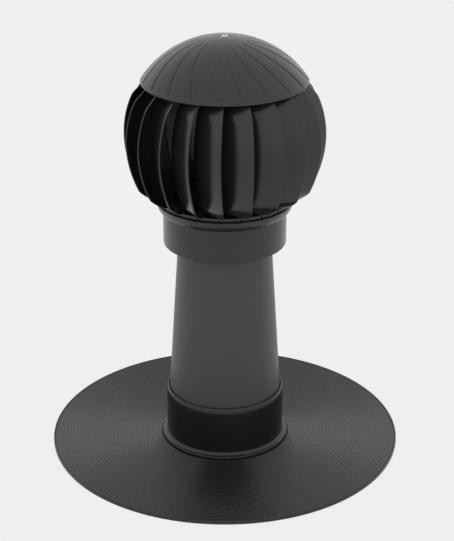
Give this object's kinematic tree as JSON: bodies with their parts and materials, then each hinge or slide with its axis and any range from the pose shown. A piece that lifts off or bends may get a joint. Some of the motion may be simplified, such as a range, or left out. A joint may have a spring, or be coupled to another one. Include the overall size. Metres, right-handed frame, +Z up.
{
  "type": "rotary roof ventilator cap",
  "caption": "Wind-driven ball-shaped rotor with a swirl-grooved dome and curved blades, on a tapered outlet pipe in a ribbed round roof flashing.",
  "frame": {"origin": "on the rotor's axis, at the middle of the flashing's flat underside", "axes": "+Z up along the rotor's axis; -Y is the front of the picture, +X its right"},
  "size_m": [0.483, 0.483, 0.5772],
  "materials": {
    "flashing_plastic": "glossy black moulding",
    "seal_rubber": "matte black rubber",
    "pipe_plastic": "fine matte graphite",
    "head_plastic": "satin graphite moulding",
    "bracket_plastic": "matte black moulding",
    "steel": "plain turned steel",
    "cage_brass": "plain"
  },
  "bodies": {
    "outlet": {"roof_flashing": "flashing_plastic", "pipe_seal": "seal_rubber", "outlet_pipe": "pipe_plastic", "head_base": "head_plastic", "bearing_bracket": "bracket_plastic", "bracket_screws": "steel", "lower_bearing_outer_ring": "steel", "upper_bearing_outer_ring": "steel"},
    "rotor": {"rotor_cap": "head_plastic", "rotor_ring": "head_plastic", "cap_washer": "steel", "cap_screw": "steel", "shaft": "steel", "bearing_spacer": "steel", "shaft_circlip": "steel", "lower_bearing_inner_ring": "steel", "upper_bearing_inner_ring": "steel", "blade_01": "head_plastic", "blade_02": "head_plastic", "blade_03": "head_plastic", "blade_04": "head_plastic", "blade_05": "head_plastic", "blade_06": "head_plastic", "blade_07": "head_plastic", "blade_08": "head_plastic", "blade_09": "head_plastic", "blade_10": "head_plastic", "blade_11": "head_plastic", "blade_12": "head_plastic", "blade_13": "head_plastic", "blade_14": "head_plastic", "blade_15": "head_plastic", "blade_16": "head_plastic", "blade_17": "head_plastic", "blade_18": "head_plastic", "blade_19": "head_plastic", "blade_20": "head_plastic"},
    "ball_cages": {"lower_bearing_balls": "steel", "lower_bearing_cage": "cage_brass", "upper_bearing_balls": "steel", "upper_bearing_cage": "cage_brass"}
  },
  "joints": [
    {"name": "rotor_spin", "type": "hinge", "parent": "outlet", "child": "rotor", "pos_m": [0, 0, 0.444], "axis": [0, 0, 1], "continuous": true},
    {"name": "cage_spin", "type": "hinge", "parent": "outlet", "child": "ball_cages", "pos_m": [0, 0, 0.3415], "axis": [0, 0, 1], "continuous": true}
  ],
  "couplings": [
    {"joint": "cage_spin", "follows": "rotor_spin", "ratio": 0.3677}
  ]
}
